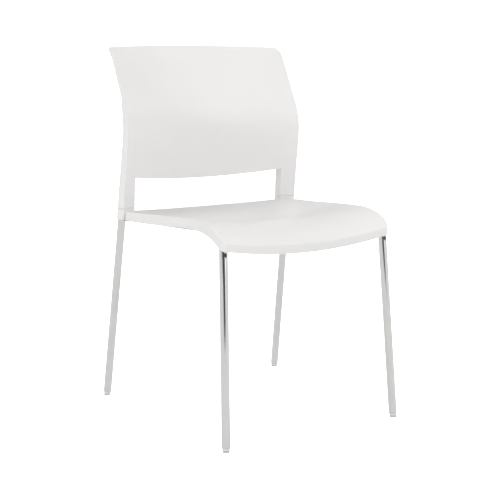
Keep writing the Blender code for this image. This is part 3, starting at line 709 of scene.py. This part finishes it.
def back_columns(width):
    """Places across the back for each given half width, from edge to edge."""
    panel = np.concatenate([PANEL_COLUMNS, STEP_COLUMNS])
    width = width[..., None]
    sides = np.linspace(0.25, 1.0, 4) * (width - CHANNEL_ROUND - CHANNEL_INNER) + CHANNEL_INNER
    rounds = width - CHANNEL_ROUND * (1.0 - np.sin(np.linspace(0.1, 1.0, 10) * np.pi / 2))
    panel = np.broadcast_to(panel, width.shape[:-1] + panel.shape)
    half = np.concatenate([panel, sides, rounds], -1)
    return np.concatenate([-half[..., :0:-1], half], -1)


def back_grid(passes=8):
    """Places (x, z) of the back's grid: legs beside the window, the panel and its upper roll."""
    legs = np.arange(WINDOW_ROWS) / WINDOW_ROWS
    body = 1 + (1 - ROLL_SHARE) * np.arange(BODY_ROWS) / BODY_ROWS
    over = 1 - (1 - np.arange(ROLL_ROWS) / (ROLL_ROWS - 1)) ** ROLL_CROWDING
    roll = 2 - ROLL_SHARE + ROLL_SHARE * over
    row = np.concatenate([legs, body, roll])[:, None]
    count = back_columns(np.array([BACK_WIDTHS[0][1]])).shape[-1]
    z = np.full((len(row), count), BACK_BOTTOM)
    x = np.zeros_like(z)
    for _ in range(passes):
        crown = BACK_TOP - BACK_TOP_DROP * (x / smooth(BACK_WIDTHS, BACK_TOP)) ** 2
        past = np.clip(crown - z, 0.0, BACK_CORNER_RADIUS)
        radius = BACK_CORNER_RADIUS
        width = smooth(BACK_WIDTHS, z) - radius + np.sqrt(radius ** 2 - (radius - past) ** 2)
        x = np.take_along_axis(back_columns(width), np.arange(count)[None, :, None], -1)[..., 0]
        share = np.minimum(1.0, np.abs(x) / CHANNEL_INNER)
        corner = np.clip(np.abs(x) - CHANNEL_INNER + WINDOW_FILLET, 0.0, WINDOW_FILLET)
        fillet = WINDOW_FILLET - np.sqrt(WINDOW_FILLET ** 2 - corner ** 2)
        lintel = WINDOW_TOP + WINDOW_RISE * share ** 2 - fillet
        low = BACK_BOTTOM + (lintel - BACK_BOTTOM) * row
        z = np.where(row <= 1.0, low, lintel + (crown - lintel) * (row - 1.0))
    return x, z


def make_back():
    """The back: curved panel with side channels that run down past the window."""
    x, z = back_grid()
    front = back_front(x, z)
    rear = front + back_normal(x, z) * BACK_THICKNESS + channel_offset(x, z)
    rows, columns = x.shape
    half = rows * columns
    kept = np.ones((rows + 1, columns + 1), bool)
    kept[0] = kept[-1] = False
    kept[:, 0] = kept[:, -1] = False
    window = columns // 2 - PANEL_HALF
    kept[1:WINDOW_ROWS + 1, window + 1:columns - window] = False
    faces = []
    for r in range(rows - 1):
        for c in range(columns - 1):
            if not kept[r + 1, c + 1]:
                continue
            a, b = r * columns + c, r * columns + c + 1
            d, e = a + columns, b + columns
            faces.append((a, b, e, d))
            faces.append((half + a, half + d, half + e, half + b))
            for there, (p, q) in (((r, c + 1), (a, b)), ((r + 2, c + 1), (e, d)),
                                  ((r + 1, c), (d, a)), ((r + 1, c + 2), (b, e))):
                if not kept[there]:
                    faces.append((p, half + p, half + q, q))
    points = np.concatenate([front.reshape(-1, 3), rear.reshape(-1, 3)])
    back = new_object("moulded_back", points, faces)
    bevel(back, BACK_EDGE_RADIUS, 3, 50)
    piece(back, "shell_plastic", "back_shell")


def bore_path(sign):
    """Centre line of the hole for an upright, which passes both ends of the sleeve."""
    path = upright_path(sign)
    path[0] = mirrored(on_line(REAR_FOOT, REAR_LEG_SLOPE, SLEEVE_BOTTOM - BORE_BELOW), sign)
    return path[:2]


def screw_place(sign):
    """Centre of the upright at the back screw, and the direction that the screw comes from."""
    centre = mirrored(on_line(REAR_FOOT, REAR_LEG_SLOPE, BACK_SCREW_HEIGHT), sign)
    return centre, Vector(back_normal(np.array(centre.x), np.array(centre.z)))


def recessed_head(name, base, axis, profile, size, depth):
    """A turned screw with a cross recess in its head."""
    screw = lathe(name, base, axis, profile, SCREW_SEGMENTS)
    top = base + axis * profile[0][0]
    side = axis.orthogonal().normalized()
    up = axis.cross(side)
    for a, b in ((side, up), (up, side)):
        corners = [top + a * u * size + b * v * size * RECESS_ARM
                   for u, v in ((-1, -1), (1, -1), (1, 1), (-1, 1))]
        rings = [[p + axis * depth for p in corners],
                 [top + (p - top) * RECESS_TAPER - axis * depth for p in corners]]
        cut(screw, skinned("recess", rings))
    return screw


def make_screws():
    """The screws of the seat and the back, with domed heads and cross recesses."""
    up = Vector((0, 0, 1))
    for side, sign in SIDES:
        radius, height = SEAT_SCREW_HEAD
        for row, y in STRAPS:
            centre = screw_seat(y, sign)
            slope = abs(strap_height(BOSS_SIDE - radius, y) - centre.z)
            under = centre - up * (STRAP_SIZE[1] + slope + FIT_GAP)
            name = side + "_" + row + "_seat_screw"
            profile = dome(radius, height, SEAT_SCREW_RADIUS, SEAT_SCREW_LENGTH)
            screw = recessed_head(name + "_head", under, -up, profile,
                                  radius * RECESS_SIZE, SEAT_SCREW_RECESS)
            piece(screw, "plated_screw", name, sharp=30)
        centre, normal = screw_place(sign)
        rear = Vector(back_front(np.array(centre.x), np.array(centre.z)))
        rear += Vector(channel_offset(np.array(centre.x), np.array(centre.z)))
        reach = (rear - centre).dot(normal) + BACK_THICKNESS
        radius, height = BACK_SCREW_HEAD
        base = centre + normal * (reach + FIT_GAP + BACK_SCREW_LIFT)
        profile = dome(radius, height, BACK_SCREW_RADIUS, reach - BACK_SCREW_SHORT)
        screw = recessed_head(side + "_back_screw_head", base, normal, profile,
                              radius * RECESS_SIZE, BACK_SCREW_RECESS)
        piece(screw, "plated_screw", side + "_back_screw", sharp=30)


def dome(radius, height, shank, length, steps=7):
    """Profile of a pan head screw from the crown of its head to the end of its shank."""
    crown = [(height * (DOME_RIM + (1 - DOME_RIM) * math.cos(t)),
              radius * (DOME_CROWN + (1 - DOME_CROWN) * math.sin(t)))
             for t in (math.pi / 2 * k / steps for k in range(steps + 1))]
    return crown + [(0.0, radius), (0.0, shank),
                    (SHANK_CHAMFER - length, shank), (-length, shank * SHANK_TIP)]


# ---------------------------------------------------------------- corner sleeves

def channel_section(z, sign, grow):
    """Outline of the side channel at a height, once round, grown outwards by a little."""
    width = smooth(BACK_WIDTHS, z)
    places = back_columns(np.array([width]))[0]
    places = places[places >= CHANNEL_INNER - 1e-9]
    height = np.full_like(places, z)
    front = back_front(places, height)
    rear = front + back_normal(places, height) * BACK_THICKNESS + channel_offset(places, height)
    outline = np.concatenate([front, rear[::-1]])[:, :2]
    along = np.roll(outline, -1, 0) - outline
    along /= np.linalg.norm(along, axis=1, keepdims=True)
    bisector = along + np.roll(along, 1, 0)
    out = np.stack([bisector[:, 1], -bisector[:, 0]], -1)
    out /= np.linalg.norm(out, axis=1, keepdims=True)
    flip = np.sum(out * (outline - outline.mean(0)), 1) < 0
    out[flip] *= -1
    points = outline + out * grow
    return [Vector((sign * px, py, z)) for px, py in points]


def sleeve_solid(name, sign, gap):
    """The sleeve's outer block with its neck; with a gap it is the room that the seat leaves for it."""
    steps = [SLEEVE_BOTTOM, SLEEVE_BOTTOM + SLEEVE_FLARE_HEIGHT, BACK_BOTTOM - FIT_GAP]
    flares = [SLEEVE_FLARE, SLEEVE_FLARE * 0.5, 0.0]
    if gap > 0.0:
        steps[0] -= SLEEVE_ROOM
        steps[-1] += SLEEVE_ROOM
    else:
        neck, depth = SLEEVE_NECK
        steps[-1:] = [steps[-1] - neck] * 2 + [steps[-1]]
        flares[-1:] = [0.0, -depth, -depth]
    return skinned(name, [channel_section(z, sign, flare + gap) for z, flare in zip(steps, flares)])


def make_sleeves():
    """A moulded sleeve on each upright, which closes the corner between seat and back."""
    for side, sign in SIDES:
        sleeve = bevel(sleeve_solid(side + "_sleeve", sign, 0.0), SLEEVE_EDGE, 3, 50)
        cut(sleeve, rod("bore", bore_path(sign), TUBE_RADIUS + FIT_GAP),
            rod("rail", front_leg_path(sign), TUBE_RADIUS + FIT_GAP))
        piece(sleeve, "shell_plastic", side + "_corner_sleeve")


# ---------------------------------------------------------------- bumpers

def make_bumpers(steps=16, turns=12):
    """Rubber bumpers that keep stacked chairs off each other."""
    for side, sign in SIDES:
        leg = mirrored(on_line(FRONT_FOOT, FRONT_LEG_SLOPE, LEG_BUMPER_HEIGHT), sign)
        width, proud, height = LEG_BUMPER_SIZE
        fall, ease = LEG_BUMPER_POWERS
        rings = []
        for k in range(steps + 1):
            lift = -math.cos(math.pi * k / steps)
            share = max(LEG_BUMPER_END, 1 - abs(lift) ** fall) ** ease
            centre = leg + Vector((0, FRONT_LEG_SLOPE[1] * lift * height / 2, lift * height / 2))
            ring = []
            for n in range(turns + 1):
                turn = math.pi * n / turns
                out = (LEG_BUMPER_ROOT + proud * share) * abs(math.sin(turn)) ** 0.5
                ring.append(centre + Vector((-math.cos(turn) * width / 2 * share,
                                             -TUBE_RADIUS + LEG_BUMPER_ROOT - out, 0)))
            rings.append(ring)
        bumper = skinned(side + "_bumper_pad", rings)
        cut(bumper, rod("leg", front_leg_path(sign), TUBE_RADIUS + COPE_GAP))
        piece(bumper, "bumper_rubber", side + "_leg_bumper")


# ---------------------------------------------------------------- materials

def principled(name, colour, metallic, roughness):
    """A material with one Principled shader, its node tree and that shader."""
    material = bpy.data.materials.new(name)
    material.use_nodes = True
    tree = material.node_tree
    shader = tree.nodes["Principled BSDF"]
    shader.inputs["Base Color"].default_value = (*colour, 1.0)
    shader.inputs["Metallic"].default_value = metallic
    shader.inputs["Roughness"].default_value = roughness
    return material, tree, shader


def noise(tree, scale, detail=2.0):
    """A noise texture in the object's own space."""
    place = tree.nodes.new("ShaderNodeTexCoord")
    texture = tree.nodes.new("ShaderNodeTexNoise")
    texture.inputs["Scale"].default_value = scale
    texture.inputs["Detail"].default_value = detail
    tree.links.new(place.outputs["Object"], texture.inputs["Vector"])
    return texture.outputs["Fac"]


def ramp(tree, value, low, high, socket):
    """Spread a value between two colours and send it to a socket."""
    node = tree.nodes.new("ShaderNodeValToRGB")
    for stop, colour, position in zip(node.color_ramp.elements, (low, high), NOISE_RANGE):
        stop.color = (*colour, 1.0)
        stop.position = position
    tree.links.new(value, node.inputs["Fac"])
    tree.links.new(node.outputs["Color"], socket)


def bump(tree, shader, value, strength, distance):
    """Raise the surface a little by a value."""
    node = tree.nodes.new("ShaderNodeBump")
    node.inputs["Strength"].default_value = strength
    node.inputs["Distance"].default_value = distance
    tree.links.new(value, node.inputs["Height"])
    tree.links.new(node.outputs["Normal"], shader.inputs["Normal"])


def spread(tree, value, low, high, socket):
    """Send a value between two limits to a socket."""
    node = tree.nodes.new("ShaderNodeMapRange")
    node.inputs["From Min"].default_value, node.inputs["From Max"].default_value = NOISE_RANGE
    node.inputs["To Min"].default_value = low
    node.inputs["To Max"].default_value = high
    tree.links.new(value, node.inputs["Value"])
    tree.links.new(node.outputs["Result"], socket)


def make_plastic():
    """White moulded plastic with a fine satin grain."""
    material, tree, shader = principled("satin_shell", (0.778, 0.770, 0.760), 0.0, 0.4)
    ramp(tree, noise(tree, 9.0), (0.770, 0.762, 0.752), (0.785, 0.777, 0.767),
         shader.inputs["Base Color"])
    spread(tree, noise(tree, 60.0, 3.0), 0.36, 0.46, shader.inputs["Roughness"])
    bump(tree, shader, noise(tree, 1400.0, 2.0), 0.10, 0.0002)
    return material


def make_chrome():
    """Bright chrome with faint variation in its tone and polish."""
    material, tree, shader = principled("bright_chrome", (0.68, 0.67, 0.66), 1.0, 0.07)
    ramp(tree, noise(tree, 14.0), (0.665, 0.655, 0.645), (0.695, 0.685, 0.675),
         shader.inputs["Base Color"])
    spread(tree, noise(tree, 90.0, 4.0), 0.05, 0.10, shader.inputs["Roughness"])
    return material


def make_zinc():
    """Zinc plate on the screws."""
    material, tree, shader = principled("zinc_plate", (0.55, 0.55, 0.56), 1.0, 0.3)
    ramp(tree, noise(tree, 300.0), (0.50, 0.50, 0.51), (0.60, 0.60, 0.60),
         shader.inputs["Base Color"])
    spread(tree, noise(tree, 700.0), 0.22, 0.38, shader.inputs["Roughness"])
    return material


def make_rubber():
    """Black rubber with a fine grain."""
    material, tree, shader = principled("black_rubber", (0.04, 0.04, 0.043), 0.0, 0.65)
    ramp(tree, noise(tree, 250.0), (0.034, 0.034, 0.037), (0.050, 0.050, 0.053),
         shader.inputs["Base Color"])
    bump(tree, shader, noise(tree, 2500.0), 0.15, 0.0002)
    return material


def make_collar():
    """Milky nylon that lets a little light through."""
    material, tree, shader = principled("milky_nylon", (0.72, 0.73, 0.74), 0.0, 0.3)
    ramp(tree, noise(tree, 220.0), (0.68, 0.69, 0.70), (0.76, 0.77, 0.78),
         shader.inputs["Base Color"])
    shader.inputs["Subsurface Weight"].default_value = 0.4
    shader.inputs["Subsurface Radius"].default_value = (0.004, 0.004, 0.004)
    return material


def make_pad_plastic():
    """Grey nylon with a fine grain."""
    material, tree, shader = principled("grey_nylon", (0.50, 0.49, 0.50), 0.0, 0.5)
    ramp(tree, noise(tree, 260.0), (0.47, 0.46, 0.47), (0.54, 0.53, 0.54),
         shader.inputs["Base Color"])
    bump(tree, shader, noise(tree, 1800.0), 0.12, 0.0002)
    return material


MATERIAL = {
    "shell_plastic": make_plastic(),
    "chromed_tube": make_chrome(),
    "plated_screw": make_zinc(),
    "bumper_rubber": make_rubber(),
    "glide_collar": make_collar(),
    "glide_pad": make_pad_plastic(),
}


# ---------------------------------------------------------------- stage, light and camera

def staged(name, verts, faces, material):
    """A part of the stage, which isn't part of the chair."""
    mesh = bpy.data.meshes.new(name)
    mesh.from_pydata(verts, [], faces)
    mesh.materials.append(material)
    item = bpy.data.objects.new(name, mesh)
    bpy.context.scene.collection.objects.link(item)
    return item


def glow(shader, strength):
    """Let a surface give off an even white light."""
    shader.inputs["Emission Color"].default_value = (1.0, 1.0, 1.0, 1.0)
    shader.inputs["Emission Strength"].default_value = strength


def make_floor():
    """A pale floor, which lights the chair from below and shows in its chrome."""
    material, tree, shader = principled("floor_white", (0.50, 0.50, 0.50), 0.0, 0.9)
    glow(shader, FLOOR_GLOW)
    ramp(tree, noise(tree, 3.0), (0.49, 0.49, 0.49), (0.51, 0.51, 0.51),
         shader.inputs["Base Color"])
    corners = [(x * FLOOR_HALF, y * FLOOR_HALF, 0) for x, y in ((-1, -1), (1, -1), (1, 1), (-1, 1))]
    floor = staged("studio_floor", corners, [(0, 1, 2, 3)], material)
    floor.visible_camera = False


def make_backdrop():
    """A white backdrop all round, which only the camera sees."""
    material, _, shader = principled("backdrop_white", (0.8, 0.8, 0.8), 0.0, 0.9)
    glow(shader, BACKDROP_GLOW)
    ball = bmesh.new()
    bmesh.ops.create_icosphere(ball, subdivisions=4, radius=BACKDROP_RADIUS)
    ball.verts.index_update()
    verts = [tuple(v.co) for v in ball.verts]
    faces = [tuple(v.index for v in f.verts) for f in ball.faces]
    ball.free()
    backdrop = staged("studio_backdrop", verts, faces, material)
    backdrop.visible_diffuse = backdrop.visible_glossy = False
    backdrop.visible_transmission = backdrop.visible_shadow = False


def make_dark_sector(steps=12):
    """A dark sheet with painted shade, darker with distance, that stands in for the unlit end of the
    studio beyond the floor that is lit; only reflections see it.
    """
    material, tree, shader = principled("dark_end", (0.1, 0.1, 0.1), 0.0, 0.9)
    place = tree.nodes.new("ShaderNodeTexCoord")
    length = tree.nodes.new("ShaderNodeVectorMath")
    length.operation = "LENGTH"
    share = tree.nodes.new("ShaderNodeMapRange")
    near, darkest, far = DARK_REACH
    share.inputs["From Min"].default_value, share.inputs["From Max"].default_value = near, darkest
    tree.links.new(place.outputs["Object"], length.inputs[0])
    tree.links.new(length.outputs["Value"], share.inputs["Value"])
    # Painted shade: the sheet's colour goes from grey at its near edge to nearly black further off
    ramp(tree, share.outputs["Result"], (0.50, 0.50, 0.50), (0.10, 0.10, 0.10),
         shader.inputs["Base Color"])
    first, last = DARK_SECTOR
    turns = [math.radians(first + (last - first) * k / steps) for k in range(steps + 1)]
    verts = [(math.sin(t) * r, -math.cos(t) * r, z)
             for r, z in ((near, DARK_LIFT), (far, DARK_LIFT), (far, DARK_HEIGHT)) for t in turns]
    row = steps + 1
    faces = [(k, k + 1, k + row + 1, k + row) for k in range(2 * row - 1) if k != steps]
    dark = staged("studio_dark_end", verts, faces, material)
    dark.visible_camera = dark.visible_diffuse = False
    dark.visible_transmission = dark.visible_shadow = False


def direction(azimuth, elevation):
    """The way towards an azimuth and an elevation in degrees, from the chair."""
    a, e = math.radians(azimuth), math.radians(elevation)
    return Vector((math.sin(a) * math.cos(e), -math.cos(a) * math.cos(e), math.sin(e)))


def make_lights():
    """An even white world and soft lamps all round; only those in front show in reflections."""
    world = bpy.data.worlds.new("studio")
    bpy.context.scene.world = world
    world.use_nodes = True
    back = world.node_tree.nodes["Background"]
    back.inputs["Color"].default_value = (1.0, 1.0, 1.0, 1.0)
    back.inputs["Strength"].default_value = WORLD_STRENGTH
    for k, (azimuth, elevation, energy) in enumerate(LAMPS):
        lamp = bpy.data.lights.new("lamp_" + str(k), "SUN")
        lamp.energy = energy
        lamp.angle = math.radians(LAMP_SPREAD)
        item = bpy.data.objects.new(lamp.name, lamp)
        bpy.context.scene.collection.objects.link(item)
        item.visible_glossy = abs(azimuth) < SIDE_LAMPS_FROM
        item.rotation_euler = direction(azimuth, elevation).to_track_quat("Z", "Y").to_euler()
    bpy.context.scene.view_settings.view_transform = "Standard"


def make_camera():
    """The camera, from the front and the right of the sitter."""
    away = direction(CAMERA_AZIMUTH, CAMERA_ELEVATION)
    camera = bpy.data.objects.new("camera", bpy.data.cameras.new("camera"))
    bpy.context.scene.collection.objects.link(camera)
    camera.location = Vector(CAMERA_TARGET) - Vector((0, ORIGIN_DEPTH, 0)) + away * CAMERA_DISTANCE
    camera.rotation_euler = away.to_track_quat("Z", "Y").to_euler()
    camera.data.lens = CAMERA_LENS
    bpy.context.scene.camera = camera


def make_plugs():
    """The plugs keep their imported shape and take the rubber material."""
    for side, _ in SIDES:
        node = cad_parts[side + "_upright_plug"]
        node.data.materials.clear()
        node.data.materials.append(MATERIAL["bumper_rubber"])


def main():
    """Make the camera, the chair's pieces, the stage and the lights."""
    make_camera()
    make_frame()
    make_glides()
    make_seat()
    make_back()
    make_screws()
    make_sleeves()
    make_bumpers()
    make_plugs()
    make_floor()
    make_backdrop()
    make_dark_sector()
    make_lights()


main()
